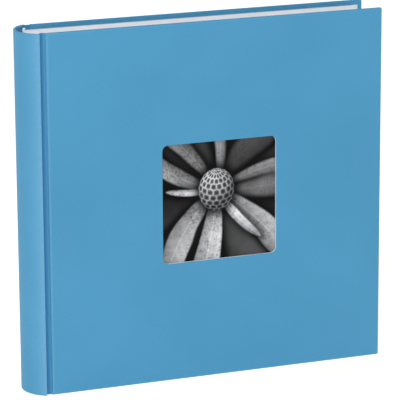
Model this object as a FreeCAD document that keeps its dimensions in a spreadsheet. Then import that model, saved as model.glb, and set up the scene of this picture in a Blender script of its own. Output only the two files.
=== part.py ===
import FreeCAD, Part

# Case-bound scrapbook album, standing upright on its tail edge, in millimetres.
#
# +Z is up, from tail to head. +X runs from the spine to the fore edge, and the front cover faces -Y.
# The origin is the middle of the footprint. Every size is a cell of the sheet below, and each piece
# is placed by expressions over those cells.
import os

from FreeCAD import Vector
from Sketcher import Constraint

LEAVES = 40

SIZES = {
    # the closed album
    "cover_height": 300,
    "board_width": 291.4,       # a covered board, from the groove to the fore edge
    "album_thickness": 43.4,    # over the outer faces of the two covers
    # sheet materials, by thickness
    "board_gauge": 2.0,
    "cloth": 0.35,              # covering, and the card that levels its turn-ins
    "endpaper": 0.2,
    "leaf_gauge": 0.4,
    "mull_gauge": 0.3,
    "lining_gauge": 0.4,
    "glue_line": 0.05,
    # spine and grooves
    "spine_depth": 19,          # from the boards' spine edges to the crest of the spine
    "spine_radius": 26,
    "spine_card": 1.3,
    "groove_width": 5,
    "groove_depth": 2.75,
    "shoulder_round": 0.6,
    # turn-ins and corners
    "turn_in": 16,
    "endpaper_margin": 4,       # border of covering left showing inside each cover
    "corner_round": 1.3,
    # window in the front board
    "window_size": 100,
    "window_centre": 147,       # from the board's spine edge
    "window_round": 5,
    "picture_gauge": 0.3,
    "picture_lap": 5,           # the print reaches this far behind the board, all round
    # block of leaves
    "page_inset": 4.25,         # the covers reach this far past the leaves at head and tail
    "page_width": 288.8,        # from the bound edge to the fore edge
    "back_depth": 10,           # from the boards' spine edges to the crest of the block's back
    "back_radius": 43.3,
    "leaf_pitch": 0.9,
    "leaf_count": LEAVES,
    "flyleaf_gap": 0.65,        # flyleaf to the nearest leaf, centre to centre
    "first_score": 1.4,         # the flyleaf's fold, from the board's spine edge
    "score_step": 0.7,          # each score line further in lies this much further from the spine
    "score_room": 0.3,          # stub's end to the score line
    "score_land": 0.1,          # score line to the leaf's own edge
    "mull_reach": 1,            # the mull's flange stops this far short of the boards
    # bands at head and tail
    "band_flange": 10,
    "band_gauge": 0.4,
    "band_bead": 1.1,
}

doc = FreeCAD.newDocument("scrapbook_album")
sheet = doc.addObject("Spreadsheet::Sheet", "sizes")
for row, (alias, value) in enumerate(SIZES.items(), start=1):
    sheet.set(f"A{row}", alias)
    sheet.set(f"B{row}", str(value))
    sheet.setAlias(f"B{row}", alias)
doc.recompute()

# Places that several pieces share, as expressions over the sheet.
EDGE = "(sizes.spine_depth - sizes.board_width) / 2"     # the boards' spine edges
FORE = "(sizes.board_width + sizes.spine_depth) / 2"     # the covers' fore edges
OUTSIDE = "sizes.album_thickness / 2"
BOARD_OUT = f"({OUTSIDE} - sizes.cloth)"
BOARD_IN = f"({BOARD_OUT} - sizes.board_gauge)"
TURN_IN_FACE = f"({BOARD_IN} - sizes.cloth)"
PASTEDOWN_FACE = f"({TURN_IN_FACE} - sizes.endpaper)"
LEAF_TOP = "(sizes.cover_height - sizes.page_inset)"
LAST_LEAF = "((sizes.leaf_count - 1) / 2 * sizes.leaf_pitch)"
BLOCK_SIDE = f"({LAST_LEAF} + sizes.flyleaf_gap + sizes.endpaper / 2)"
SPINE_CENTRE = f"({EDGE} - sizes.spine_depth + sizes.spine_radius)"
BACK_CENTRE = f"({EDGE} - sizes.back_depth + sizes.back_radius)"
WINDOW_LOW_X = f"({EDGE} + sizes.window_centre - sizes.window_size / 2)"
WINDOW_LOW_Z = "((sizes.cover_height - sizes.window_size) / 2)"

nodes = []


def value(expression):
    """The number an expression over the sheet stands for."""
    return float(sheet.evalExpression(expression.replace("sizes.", "")))


def bind(piece, sizes, place=None):
    """Bind a piece's sizes, and its placement's x, y and z, to expressions."""
    for name, expression in sizes.items():
        piece.setExpression(name, expression)
    for axis, expression in (place or {}).items():
        piece.setExpression(f"Placement.Base.{axis}", expression)


def keep(piece, name):
    """Name a finished sub-part, which is written to a file of that name."""
    piece.Label = name
    nodes.append(piece)
    return piece


def box(name, x, y, z):
    """A box between two planes on each axis; each argument is a (low, high) pair of expressions."""
    piece = doc.addObject("Part::Box", name)
    (x0, x1), (y0, y1), (z0, z1) = x, y, z
    bind(
        piece,
        {"Length": f"{x1} - ({x0})", "Width": f"{y1} - ({y0})", "Height": f"{z1} - ({z0})"},
        {"x": x0, "y": y0, "z": z0},
    )
    return piece


def side_span(side, inner, outer):
    """The y range between two distances from the middle plane, on the side -1 (front) or +1 (back)."""
    if side < 0:
        return f"-({outer})", f"-({inner})"
    return f"({inner})", f"({outer})"


def cut(name, base, tool):
    piece = doc.addObject("Part::Cut", name)
    piece.Base = base
    piece.Tool = tool
    return piece


def compound(name, pieces):
    piece = doc.addObject("Part::Compound", name)
    piece.Links = pieces
    return piece


def rounded(name, piece, radius, chosen):
    """Fillet the edges of a piece that the function chosen picks by their two end points."""
    doc.recompute()
    fillet = doc.addObject("Part::Fillet", name)
    fillet.Base = piece
    size = value(radius)
    picked = []
    for number, edge in enumerate(piece.Shape.Edges, start=1):
        if len(edge.Vertexes) == 2 and chosen(edge.Vertexes[0].Point, edge.Vertexes[1].Point):
            picked.append((number, size, size))
    fillet.Edges = picked
    return fillet


def origin_plane(body, role):
    return next(item for item in body.Origin.OriginFeatures if item.Role == role)


def new_sketch(body, name, offset):
    """A sketch parallel to the floor, at the height that the expression offset gives."""
    sketch = body.newObject("Sketcher::SketchObject", name)
    sketch.AttachmentSupport = [(origin_plane(body, "XY_Plane"), "")]
    sketch.MapMode = "FlatFace"
    sketch.setExpression("AttachmentOffset.Base.z", offset)
    return sketch


def constrain(sketch, kind, *where, expression=None):
    """Add a constraint; with an expression it is a size, driven by the sheet."""
    if expression is None:
        return sketch.addConstraint(Constraint(kind, *where))
    index = sketch.addConstraint(Constraint(kind, *where, value(expression)))
    sketch.setExpression(f"Constraints[{index}]", expression)
    return index


def polygon(sketch, corners):
    """A closed outline through corners, each an (x, y) pair of expressions."""
    points = [Vector(value(x), value(y), 0) for x, y in corners]
    count = len(points)
    for index, start in enumerate(points):
        sketch.addGeometry(Part.LineSegment(start, points[(index + 1) % count]), False)
    for index, (x, y) in enumerate(corners):
        constrain(sketch, "Coincident", index, 2, (index + 1) % count, 1)
        constrain(sketch, "DistanceX", -1, 1, index, 1, expression=x)
        constrain(sketch, "DistanceY", -1, 1, index, 1, expression=y)


def arc_band(sketch, centre, outer, inner, end):
    """A bent band that bulges towards the spine side and stops at the plane x = end."""
    middle = Vector(value(centre), 0, 0)
    stop = value(end)
    reach = []
    for radius in (value(outer), value(inner)):
        reach.append((radius**2 - (stop - middle.x) ** 2) ** 0.5)
    corners = [Vector(stop, reach[0], 0), Vector(stop, reach[1], 0)]
    mirrored = [Vector(stop, -reach[0], 0), Vector(stop, -reach[1], 0)]
    for radius, start, finish in (
        (value(outer), corners[0], mirrored[0]),
        (value(inner), corners[1], mirrored[1]),
    ):
        crest = middle - Vector(radius, 0, 0)
        arc = Part.Arc(start, crest, finish)
        sketch.addGeometry(arc, False)
    sketch.addGeometry(Part.LineSegment(corners[0], corners[1]), False)
    sketch.addGeometry(Part.LineSegment(mirrored[1], mirrored[0]), False)
    constrain(sketch, "Coincident", 0, 3, 1, 3)
    constrain(sketch, "PointOnObject", 0, 3, -1)
    constrain(sketch, "DistanceX", -1, 1, 0, 3, expression=centre)
    constrain(sketch, "Radius", 0, expression=outer)
    constrain(sketch, "Radius", 1, expression=inner)
    constrain(sketch, "Coincident", 0, 1, 2, 1)
    constrain(sketch, "Coincident", 2, 2, 1, 1)
    constrain(sketch, "Coincident", 1, 2, 3, 1)
    constrain(sketch, "Coincident", 3, 2, 0, 2)
    constrain(sketch, "Vertical", 2)
    constrain(sketch, "Vertical", 3)
    constrain(sketch, "DistanceX", -1, 1, 2, 1, expression=end)
    constrain(sketch, "DistanceX", -1, 1, 3, 1, expression=end)


def pad(body, sketch, length):
    feature = body.newObject("PartDesign::Pad", f"{body.Name}_pad")
    feature.Profile = sketch
    feature.setExpression("Length", length)
    sketch.Visibility = False
    doc.recompute()
    return feature


def round_edges(body, name, radius, chosen):
    """Fillet the edges of a body that the function chosen picks by their two end points."""
    base = body.Tip
    fillet = body.newObject("PartDesign::Fillet", name)
    edges = []
    for number, edge in enumerate(base.Shape.Edges, start=1):
        a, b = (vertex.Point for vertex in edge.Vertexes)
        if chosen(a, b):
            edges.append(f"Edge{number}")
    fillet.Base = (base, edges)
    fillet.setExpression("Radius", radius)
    doc.recompute()


def pocket_up(body, sketch, length):
    """Cut upwards from a sketch, and make sure that it removed something."""
    before = body.Shape.Volume
    feature = body.newObject("PartDesign::Pocket", f"{sketch.Name}_pocket")
    feature.Profile = sketch
    feature.Reversed = True
    feature.setExpression("Length", length)
    doc.recompute()
    if body.Shape.Volume >= before:
        raise RuntimeError(f"{sketch.Name} removed nothing")
    return feature


def window_hole(name):
    """The prism that punches the window, with its rounded corners."""
    sill = f"{WINDOW_LOW_Z} + sizes.window_size"
    block = box(
        f"{name}_block",
        (WINDOW_LOW_X, f"{WINDOW_LOW_X} + sizes.window_size"),
        (f"-({OUTSIDE}) - 1", f"-({PASTEDOWN_FACE})"),
        (WINDOW_LOW_Z, sill),
    )
    across = "sizes.window_round"
    return rounded(name, block, across, lambda a, b: abs(a.y - b.y) > 1)


def fore_corners(name, piece, x, radius):
    """Round the two corners of a cover's sheet at its fore edge, at the plane x."""
    fore = value(x)
    return rounded(name, piece, radius, lambda a, b: abs(a.y - b.y) > 1 and abs(a.x - fore) < 0.1)


def covering(side, name):
    """The covering of one board: outer face, edges and turn-ins, with the board's place hollow."""
    outside = box(
        f"{name}_outside",
        (EDGE, FORE),
        side_span(side, TURN_IN_FACE, OUTSIDE),
        ("0", "sizes.cover_height"),
    )
    board_room = box(
        f"{name}_board_room",
        (f"{EDGE} + sizes.cloth", f"{FORE} - sizes.cloth"),
        side_span(side, BOARD_IN, BOARD_OUT),
        ("sizes.cloth", "sizes.cover_height - sizes.cloth"),
    )
    opening = box(
        f"{name}_opening",
        (f"{EDGE} + sizes.cloth", f"{FORE} - sizes.turn_in"),
        side_span(side, f"{TURN_IN_FACE} - 1", f"{BOARD_OUT} - sizes.board_gauge / 2"),
        ("sizes.turn_in", "sizes.cover_height - sizes.turn_in"),
    )
    skin = fore_corners(f"{name}_rounded", outside, FORE, "sizes.corner_round")
    inner_round = "sizes.corner_round - sizes.cloth"
    hollow = fore_corners(f"{name}_hollow", board_room, f"{FORE} - sizes.cloth", inner_round)
    shell = cut(f"{name}_shell", skin, hollow)
    if side > 0:
        return keep(cut(name, shell, opening), name)
    closed_front = cut(f"{name}_opened", shell, opening)
    return keep(cut(name, closed_front, window_hole("covering_window")), name)


def board(side, name):
    """A stiff board; the front one is punched with the window."""
    body = doc.addObject("PartDesign::Body", name)
    sketch = new_sketch(body, f"{name}_outline", "sizes.cloth")
    y0, y1 = side_span(side, BOARD_IN, BOARD_OUT)
    x0 = f"{EDGE} + sizes.cloth"
    x1 = f"{FORE} - sizes.cloth"
    polygon(sketch, [(x0, y0), (x1, y0), (x1, y1), (x0, y1)])
    pad(body, sketch, "sizes.cover_height - 2 * sizes.cloth")
    fore = value(x1)
    round_edges(
        body,
        f"{name}_corners",
        "sizes.corner_round - sizes.cloth",
        lambda a, b: abs(a.y - b.y) > 1 and abs(a.x - fore) < 0.1,
    )
    if side > 0:
        return keep(body, name)
    body.Label = f"{name}_blank"
    return keep(cut(f"{name}_punched", body, window_hole("board_window")), name)


def infill(side, name):
    """Thin card between the turn-ins; the front one is cut out round the print."""
    sheet_of_card = box(
        f"{name}_card",
        (f"{EDGE} + sizes.cloth", f"{FORE} - sizes.turn_in"),
        side_span(side, TURN_IN_FACE, BOARD_IN),
        ("sizes.turn_in", "sizes.cover_height - sizes.turn_in"),
    )
    if side > 0:
        return keep(sheet_of_card, name)
    room = box(
        f"{name}_print_room",
        (f"{WINDOW_LOW_X} - sizes.picture_lap", f"{WINDOW_LOW_X} + sizes.window_size + sizes.picture_lap"),
        side_span(side, f"{TURN_IN_FACE} - 1", f"{BOARD_IN} + 1"),
        (f"{WINDOW_LOW_Z} - sizes.picture_lap", f"{WINDOW_LOW_Z} + sizes.window_size + sizes.picture_lap"),
    )
    return keep(cut(name, sheet_of_card, room), name)


def cover_picture():
    """The print behind the window, on thin card."""
    lap = "sizes.picture_lap - sizes.glue_line"
    picture = box(
        "cover_picture",
        (f"{WINDOW_LOW_X} - ({lap})", f"{WINDOW_LOW_X} + sizes.window_size + {lap}"),
        side_span(-1, f"{BOARD_IN} - sizes.picture_gauge", BOARD_IN),
        (f"{WINDOW_LOW_Z} - ({lap})", f"{WINDOW_LOW_Z} + sizes.window_size + {lap}"),
    )
    return keep(picture, "cover_picture")


def pastedown(side, name):
    """The half of an endpaper that is glued to the inside of a cover."""
    sheet_of_paper = box(
        name,
        (f"{EDGE} + sizes.cloth", f"{FORE} - sizes.endpaper_margin"),
        side_span(side, PASTEDOWN_FACE, TURN_IN_FACE),
        ("sizes.endpaper_margin", "sizes.cover_height - sizes.endpaper_margin"),
    )
    return keep(sheet_of_paper, name)


def spine_stiffener():
    """The curved card strip inside the spine covering."""
    body = doc.addObject("PartDesign::Body", "spine_stiffener")
    gap = "sizes.glue_line"
    sketch = new_sketch(body, "stiffener_section", f"sizes.cloth + {gap}")
    outer = f"sizes.spine_radius - sizes.cloth - {gap}"
    inner = f"sizes.spine_radius - sizes.cloth - sizes.spine_card + {gap}"
    arc_band(sketch, SPINE_CENTRE, outer, inner, f"{EDGE} - sizes.groove_width - sizes.cloth - {gap}")
    pad(body, sketch, f"sizes.cover_height - 2 * (sizes.cloth + {gap})")
    return keep(body, "spine_stiffener")


def spine_covering():
    """The covering round the spine card, turned in over its head and tail."""
    body = doc.addObject("PartDesign::Body", "spine_covering")
    end = f"{EDGE} - sizes.groove_width"
    inner = "(sizes.spine_radius - 2 * sizes.cloth - sizes.spine_card)"
    outline = new_sketch(body, "spine_outline", "0")
    arc_band(outline, SPINE_CENTRE, "sizes.spine_radius", inner, end)
    pad(body, outline, "sizes.cover_height")
    widest = body.Shape.BoundBox.YMax
    round_edges(
        body,
        "spine_shoulders",
        "sizes.shoulder_round",
        lambda a, b: abs(a.z - b.z) > 1 and widest - abs(a.y) < 0.01,
    )
    card_room = new_sketch(body, "spine_card_room", "sizes.cloth")
    outer = "sizes.spine_radius - sizes.cloth"
    arc_band(card_room, SPINE_CENTRE, outer, f"{inner} + sizes.cloth", f"{end} - sizes.cloth")
    pocket_up(body, card_room, "sizes.cover_height - 2 * sizes.cloth")
    between = new_sketch(body, "spine_between_turn_ins", "sizes.turn_in")
    reach = f"{inner} + sizes.cloth + sizes.glue_line"
    arc_band(between, SPINE_CENTRE, reach, f"{inner} - 1", f"{end} - sizes.cloth")
    pocket_up(body, between, "sizes.cover_height - 2 * sizes.turn_in")
    return keep(body, "spine_covering")


def joint_strip(side, name):
    """The covering in one groove: down the spine's shoulder, then across to the board."""
    body = doc.addObject("PartDesign::Body", name)
    sketch = new_sketch(body, f"{name}_section", "0")
    shoulder_x = f"({EDGE} - sizes.groove_width)"
    inner_radius = "(sizes.spine_radius - 2 * sizes.cloth - sizes.spine_card)"
    drop = f"({shoulder_x} - {SPINE_CENTRE})"
    shoulder_y = f"sqrt({inner_radius} ^ 2 - {drop} ^ 2) + 2 * sizes.cloth"
    floor_out = f"({OUTSIDE} - sizes.groove_depth)"
    floor_in = f"({floor_out} - sizes.cloth)"
    sign = "-1" if side < 0 else "1"
    corners = [
        (shoulder_x, shoulder_y),
        (shoulder_x, floor_in),
        (EDGE, floor_in),
        (EDGE, floor_out),
        (f"{shoulder_x} + sizes.cloth", floor_out),
        (f"{shoulder_x} + sizes.cloth", shoulder_y),
    ]
    polygon(sketch, [(x, f"{sign} * ({y})") for x, y in corners])
    pad(body, sketch, "sizes.cover_height")
    return keep(body, name)


def bound_edge(low, high):
    """Where a strip between two y planes meets the block's rounded back, without standing past it."""
    far = f"max(abs({low}); abs({high}))"
    return f"({BACK_CENTRE} - sqrt(sizes.back_radius ^ 2 - {far} ^ 2))"


def leaf_span(number):
    """The y range of leaf 0 to LEAVES + 1, front to back. The first and the last are the flyleaves."""
    y = f"(({number} - (sizes.leaf_count + 1) / 2) * sizes.leaf_pitch)"
    half = "sizes.leaf_gauge / 2"
    if number in (0, LEAVES + 1):
        sign = -1 if number == 0 else 1
        y = f"({sign} * ({LAST_LEAF} + sizes.flyleaf_gap))"
        half = "sizes.endpaper / 2"
    return f"({y} - {half})", f"({y} + {half})"


def score_line(number):
    """The x of a leaf's score line, which steps away from the spine towards the block's middle."""
    rank = min(number, LEAVES + 1 - number)
    return f"({EDGE} + sizes.first_score + {rank} * sizes.score_step)"


def leaf(number, name):
    """One sheet of the block, from its score line to the fore edge."""
    low, high = leaf_span(number)
    sheet_of_card = box(
        name,
        (f"{score_line(number)} + sizes.score_land", f"{bound_edge(low, high)} + sizes.page_width"),
        (low, high),
        ("sizes.page_inset", LEAF_TOP),
    )
    return keep(sheet_of_card, name)


def binding_stubs():
    """The bound edges of all the sheets, with a spacer strip between each two."""
    strips = []
    for number in range(LEAVES + 2):
        low, high = leaf_span(number)
        spans = [(f"stub_{number:02}", low, high, number)]
        if number <= LEAVES:
            next_low = leaf_span(number + 1)[0]
            lower_step = number if number <= LEAVES / 2 else number + 1
            spans.append((f"spacer_{number:02}", high, next_low, lower_step))
        for name, start, stop, step in spans:
            reach = (bound_edge(start, stop), f"{score_line(step)} - sizes.score_room")
            strips.append(box(name, reach, (start, stop), ("sizes.page_inset", LEAF_TOP)))
    return keep(compound("binding_stubs", strips), "binding_stubs")


def back_band(name, inside, gauge, low, high, half_width):
    """A strip glued on the block's rounded back, between two heights."""
    body = doc.addObject("PartDesign::Body", name)
    sketch = new_sketch(body, f"{name}_section", low)
    inner = f"(sizes.back_radius + {inside})"
    outer = f"({inner} + {gauge})"
    end = f"{BACK_CENTRE} - sqrt({inner} ^ 2 - ({half_width}) ^ 2)"
    arc_band(sketch, BACK_CENTRE, outer, inner, end)
    pad(body, sketch, f"{high} - ({low})")
    return body


def mull():
    """Gauze over the block's back, with a flange on each side of the block."""
    low = "sizes.page_inset + sizes.band_flange + 1"
    high = f"{LEAF_TOP} - sizes.band_flange - 1"
    back = back_band("mull_back", "sizes.glue_line", "sizes.mull_gauge", low, high, BLOCK_SIDE)
    radius = "(sizes.back_radius + sizes.glue_line)"
    start = f"{BACK_CENTRE} - sqrt({radius} ^ 2 - {BLOCK_SIDE} ^ 2)"
    flanges = []
    for side, name in ((-1, "front"), (1, "back")):
        flanges.append(
            box(
                f"mull_{name}_flange",
                (start, f"{EDGE} - sizes.mull_reach"),
                side_span(side, BLOCK_SIDE, f"{BLOCK_SIDE} + sizes.mull_gauge"),
                (low, high),
            )
        )
    piece = doc.addObject("Part::MultiFuse", "mull")
    piece.Shapes = [back] + flanges
    return keep(piece, "mull")


def spine_lining():
    low = "sizes.page_inset + sizes.band_flange + 1"
    high = f"{LEAF_TOP} - sizes.band_flange - 1"
    inside = "sizes.glue_line + sizes.mull_gauge"
    half_width = f"{BLOCK_SIDE} - 1"
    body = back_band("spine_lining", inside, "sizes.lining_gauge", low, high, half_width)
    return keep(body, "spine_lining")


def end_band(name, at_head):
    """A headband: a tape on the block's back, with a sewn bead that stands past the leaves' ends."""
    reach = "sizes.band_bead + sizes.glue_line"
    if at_head:
        low, high = f"{LEAF_TOP} - sizes.band_flange", f"{LEAF_TOP} + {reach}"
        bead_z = high
    else:
        low, high = f"sizes.page_inset - ({reach})", "sizes.page_inset + sizes.band_flange"
        bead_z = low
    tape = back_band(f"{name}_tape", "sizes.glue_line", "sizes.band_gauge", low, high, BLOCK_SIDE)
    bead = doc.addObject("Part::Torus", f"{name}_bead")
    sweep = f"2 * asin({BLOCK_SIDE} / sizes.back_radius)"
    bind(
        bead,
        {
            "Radius1": "sizes.back_radius - sizes.band_bead / 2",
            "Radius2": "sizes.band_bead",
            "Angle3": sweep,
        },
        {"x": BACK_CENTRE, "z": bead_z},
    )
    bead.Placement.Rotation = FreeCAD.Rotation(Vector(0, 0, 1), 180 - value(sweep) / 2)
    piece = doc.addObject("Part::MultiFuse", name)
    piece.Shapes = [tape, bead]
    return keep(piece, name)


def build():
    for side, name in ((-1, "front"), (1, "back")):
        board(side, f"{name}_board")
        covering(side, f"{name}_covering")
        joint_strip(side, f"{name}_joint_strip")
        infill(side, f"{name}_infill")
        pastedown(side, f"{name}_pastedown")
    cover_picture()
    spine_stiffener()
    spine_covering()
    leaf(0, "front_flyleaf")
    leaf(LEAVES + 1, "back_flyleaf")
    for number in range(1, LEAVES + 1):
        leaf(number, f"leaf_{number:02}")
    binding_stubs()
    mull()
    spine_lining()
    end_band("headband", True)
    end_band("tailband", False)


def check():
    """Stop before anything is written if an object failed or a sub-part has no good shape."""
    for item in doc.Objects:
        if "Invalid" in item.State or "Error" in item.State:
            raise RuntimeError(f"{item.Name} failed: {item.State}")
    for piece in nodes:
        if piece.Shape.isNull() or not piece.Shape.isValid() or piece.Shape.Volume <= 0:
            raise RuntimeError(f"{piece.Label} has no valid shape")


build()
doc.recompute()
check()
os.makedirs("parts", exist_ok=True)
for piece in nodes:
    piece.Shape.exportStep(f"parts/{piece.Label}.step")
print(len(nodes), "sub-parts written")
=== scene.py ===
import math

import bmesh
import bpy
import numpy as np
from mathutils import Matrix, Vector


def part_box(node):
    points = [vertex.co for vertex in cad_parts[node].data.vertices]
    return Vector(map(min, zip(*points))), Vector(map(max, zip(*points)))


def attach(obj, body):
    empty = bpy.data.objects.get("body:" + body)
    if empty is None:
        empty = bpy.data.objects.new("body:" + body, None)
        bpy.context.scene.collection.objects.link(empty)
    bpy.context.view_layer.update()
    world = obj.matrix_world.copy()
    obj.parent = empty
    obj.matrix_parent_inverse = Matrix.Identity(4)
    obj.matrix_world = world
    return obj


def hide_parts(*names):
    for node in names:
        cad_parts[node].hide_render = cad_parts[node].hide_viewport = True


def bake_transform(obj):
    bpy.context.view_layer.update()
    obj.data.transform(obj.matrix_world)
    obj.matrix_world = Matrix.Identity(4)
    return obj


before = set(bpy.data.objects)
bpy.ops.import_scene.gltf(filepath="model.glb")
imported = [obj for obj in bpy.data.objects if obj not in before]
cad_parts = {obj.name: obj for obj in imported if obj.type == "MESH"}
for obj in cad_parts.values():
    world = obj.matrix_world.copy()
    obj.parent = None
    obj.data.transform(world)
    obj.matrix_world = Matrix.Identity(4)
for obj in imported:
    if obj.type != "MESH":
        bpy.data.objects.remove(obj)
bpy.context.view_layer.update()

MM = 0.001

# ---------------------------------------------------------------- places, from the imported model
cover_low, cover_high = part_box("front_covering")
board_low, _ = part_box("front_board")
infill_low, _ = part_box("front_infill")
print_low, print_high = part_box("cover_picture")
spine_low, spine_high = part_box("spine_covering")
_, strip_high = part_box("front_joint_strip")
pastedown_low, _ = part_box("front_pastedown")
block_low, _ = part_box("binding_stubs")

EDGE, FORE = cover_low.x, cover_high.x          # a cover's spine edge and fore edge
TAIL, HEAD = cover_low.z, cover_high.z
OUTSIDE = -cover_low.y                          # the covers' outer faces, from the middle plane
COVER_GAUGE = cover_high.y - cover_low.y
PAPER = board_low.y - cover_low.y               # gauge of the covering
TURN_IN = infill_low.z - TAIL                   # the covering folded over inside
SHOULDER = spine_high.x                         # the spine's front and back ends
FLOOR = -strip_high.y + PAPER                   # the groove's floor, from the middle plane
PRINT_LAP = 4.95 * MM                           # the print reaches this far behind the board
CORNER_ROUND = 1.3 * MM                         # a cover's corners at the fore edge
WINDOW_ROUND = 5 * MM
SPINE_RADIUS = 26 * MM
SPINE_GAUGE = 2 * MM                            # the spine's card with its covering on both sides
CLEAR = 0.02 * MM                               # the least room between papers, or radius
BACK_RADIUS = 43.3 * MM                         # the block's rounded back
SCORE_LAND = 0.1 * MM                           # a leaf's own edge to its score line
SCORE_ROOM = 0.3 * MM                           # the score line to the end of the stub
LEAVES = 40


# ---------------------------------------------------------------- node materials
def add(tree, kind, sockets=None, **settings):
    """A node with its settings made, and its sockets given a value or a link."""
    made = tree.nodes.new(kind)
    for name, setting in settings.items():
        setattr(made, name, setting)
    for name, given in (sockets or {}).items():
        if isinstance(given, bpy.types.NodeSocket):
            tree.links.new(given, made.inputs[name])
        else:
            made.inputs[name].default_value = given
    return made


def new_material(name, **values):
    """A material and its node tree, with plain values set on the shader's own sockets."""
    made = bpy.data.materials.new(name)
    made.use_nodes = True
    shader = made.node_tree.nodes["Principled BSDF"]
    for socket, given in values.items():
        shader.inputs[socket.replace("_", " ")].default_value = given
    return made, made.node_tree, shader


def linear(red, green, blue):
    """A colour given in 8-bit sRGB, as linear RGBA."""
    parts = [c / 255 for c in (red, green, blue)]
    return [c / 12.92 if c <= 0.04045 else ((c + 0.055) / 1.055) ** 2.4 for c in parts] + [1]


def math_node(tree, operation, first, second=0.5, third=0.5):
    """The result of an operation on one, two or three values."""
    sockets = {0: first, 1: second, 2: third}
    return add(tree, "ShaderNodeMath", sockets, operation=operation).outputs[0]


def noise(tree, where, scale, detail=2.0, rough=0.5, stretch=(1, 1, 1)):
    """Noise of so many cells a metre, read at a vector that may be stretched."""
    moved = add(tree, "ShaderNodeMapping", {"Vector": where, "Scale": stretch}).outputs[0]
    return add(
        tree,
        "ShaderNodeTexNoise",
        {"Vector": moved, "Scale": scale, "Detail": detail, "Roughness": rough},
    ).outputs["Fac"]


def blend_colours(tree, factor, first, second):
    """Two colours mixed. A Mix node's colours are its sockets 6 and 7, and its result is 2."""
    made = add(tree, "ShaderNodeMix", {0: factor, 6: first, 7: second}, data_type="RGBA")
    return made.outputs[2]


def ramp(tree, value, low, high, to_low=0.0, to_high=1.0):
    """A value between low and high, spread between two others and held at both ends."""
    return add(
        tree,
        "ShaderNodeMapRange",
        {"Value": value, "From Min": low, "From Max": high, "To Min": to_low, "To Max": to_high},
    ).outputs[0]


def finish_material(tree, shader, colour, roughness, height, depth, strength):
    """Link colour, roughness and a bump of a given depth in metres to the shader."""
    tree.links.new(colour, shader.inputs["Base Color"])
    tree.links.new(roughness, shader.inputs["Roughness"])
    bump = add(tree, "ShaderNodeBump", {"Height": height, "Distance": depth, "Strength": strength})
    tree.links.new(bump.outputs[0], shader.inputs["Normal"])


def object_place(tree):
    """The point's place on its object, which is its place in the frame at rest."""
    return add(tree, "ShaderNodeTexCoord").outputs["Object"]


def covering_material():
    """Light blue covering paper: a fine linen emboss and faint clouding. Where the mesh's attribute
    is above zero it is lighter, with rubbed wear on the folds and a painted highlight on the
    spine's shoulders and the board edges at the joints; where it is below zero it is darker, with
    painted shade in the grooves."""
    made, tree, shader = new_material("covering_paper", Specular_IOR_Level=0.25)
    flat = add(tree, "ShaderNodeAttribute", attribute_name="flat").outputs["Vector"]
    wear_and_painted_light = add(tree, "ShaderNodeAttribute", attribute_name="wear_and_painted_light").outputs["Fac"]
    weave, drawn_out = 420, 5.2
    warp = noise(tree, flat, weave, 3, 0.6, (drawn_out, 1, 1))
    weft = noise(tree, flat, weave, 3, 0.6, (1, drawn_out, 1))
    threads = math_node(tree, "ADD", warp, weft)
    grain = noise(tree, flat, 2600, 2)
    height = math_node(tree, "MULTIPLY_ADD", grain, 0.35, threads)
    clouds = noise(tree, flat, 9, 3, 0.55)
    shade = math_node(tree, "MULTIPLY_ADD", threads, 0.55, math_node(tree, "MULTIPLY", clouds, 0.9))
    level = ramp(tree, shade, 0.75, 1.25)
    plain = blend_colours(tree, level, linear(62, 133, 170), linear(70, 142, 180))
    # painted shade: below zero the attribute darkens the paper towards a deeper blue, for the
    # shadow in the grooves
    painted_shade = ramp(tree, wear_and_painted_light, 0.0, -1.0)
    body = blend_colours(tree, painted_shade, plain, linear(48, 121, 168))
    patches = ramp(tree, noise(tree, flat, 260, 3), 0.3, 0.7, 0.8, 1.0)
    # above zero the attribute lightens the paper in patches: rubbed wear on the folds and edges,
    # and a painted highlight on the spine's shoulders and beside the grooves
    wear_and_highlight = math_node(tree, "MULTIPLY", math_node(tree, "MAXIMUM", wear_and_painted_light, 0.0), patches)
    faint = math_node(tree, "MULTIPLY", wear_and_highlight, 0.5)
    colour = blend_colours(tree, faint, body, linear(126, 174, 207))
    roughness = ramp(tree, threads, 0.7, 1.3, 0.6, 0.5)
    finish_material(tree, shader, colour, roughness, height, depth=0.00006, strength=0.5)
    return made


def paper_material(name, low, high, fibre=900, mottle=30, depth=0.00002, **values):
    """A paper or card between two colours: mottling, fibres in two directions, and a fine tooth."""
    made, tree, shader = new_material(name, **values)
    where = object_place(tree)
    fibres = math_node(
        tree,
        "ADD",
        noise(tree, where, fibre, 3, 0.6, (1, 1, 0.25)),
        noise(tree, where, fibre, 3, 0.6, (0.25, 1, 1)),
    )
    mottled = math_node(tree, "MULTIPLY_ADD", noise(tree, where, mottle, 4), 0.6, fibres)
    colour = blend_colours(tree, ramp(tree, mottled, 0.95, 1.65), low, high)
    roughness = ramp(tree, fibres, 0.7, 1.3, 0.85, 0.7)
    finish_material(tree, shader, colour, roughness, fibres, depth, strength=0.6)
    return made


def board_material():
    """Pale pulp board: layers along the cut, flecks and a coarse tooth."""
    made, tree, shader = new_material("grey_board", Specular_IOR_Level=0.2)
    where = object_place(tree)
    layers = noise(tree, where, 700, 3, 0.6, (0.08, 4, 0.08))
    pulp = noise(tree, where, 1500, 4, 0.7)
    flecks = ramp(tree, noise(tree, where, 520, 2), 0.66, 0.72)
    level = math_node(tree, "MULTIPLY_ADD", pulp, 0.7, layers)
    tint = ramp(tree, level, 0.5, 1.1)
    body = blend_colours(tree, tint, linear(176, 196, 208), linear(218, 229, 236))
    faint = math_node(tree, "MULTIPLY", flecks, 0.35)
    colour = blend_colours(tree, faint, body, linear(120, 128, 132))
    roughness = ramp(tree, pulp, 0.3, 0.7, 0.95, 0.8)
    finish_material(tree, shader, colour, roughness, level, depth=0.00012, strength=0.7)
    return made


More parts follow.
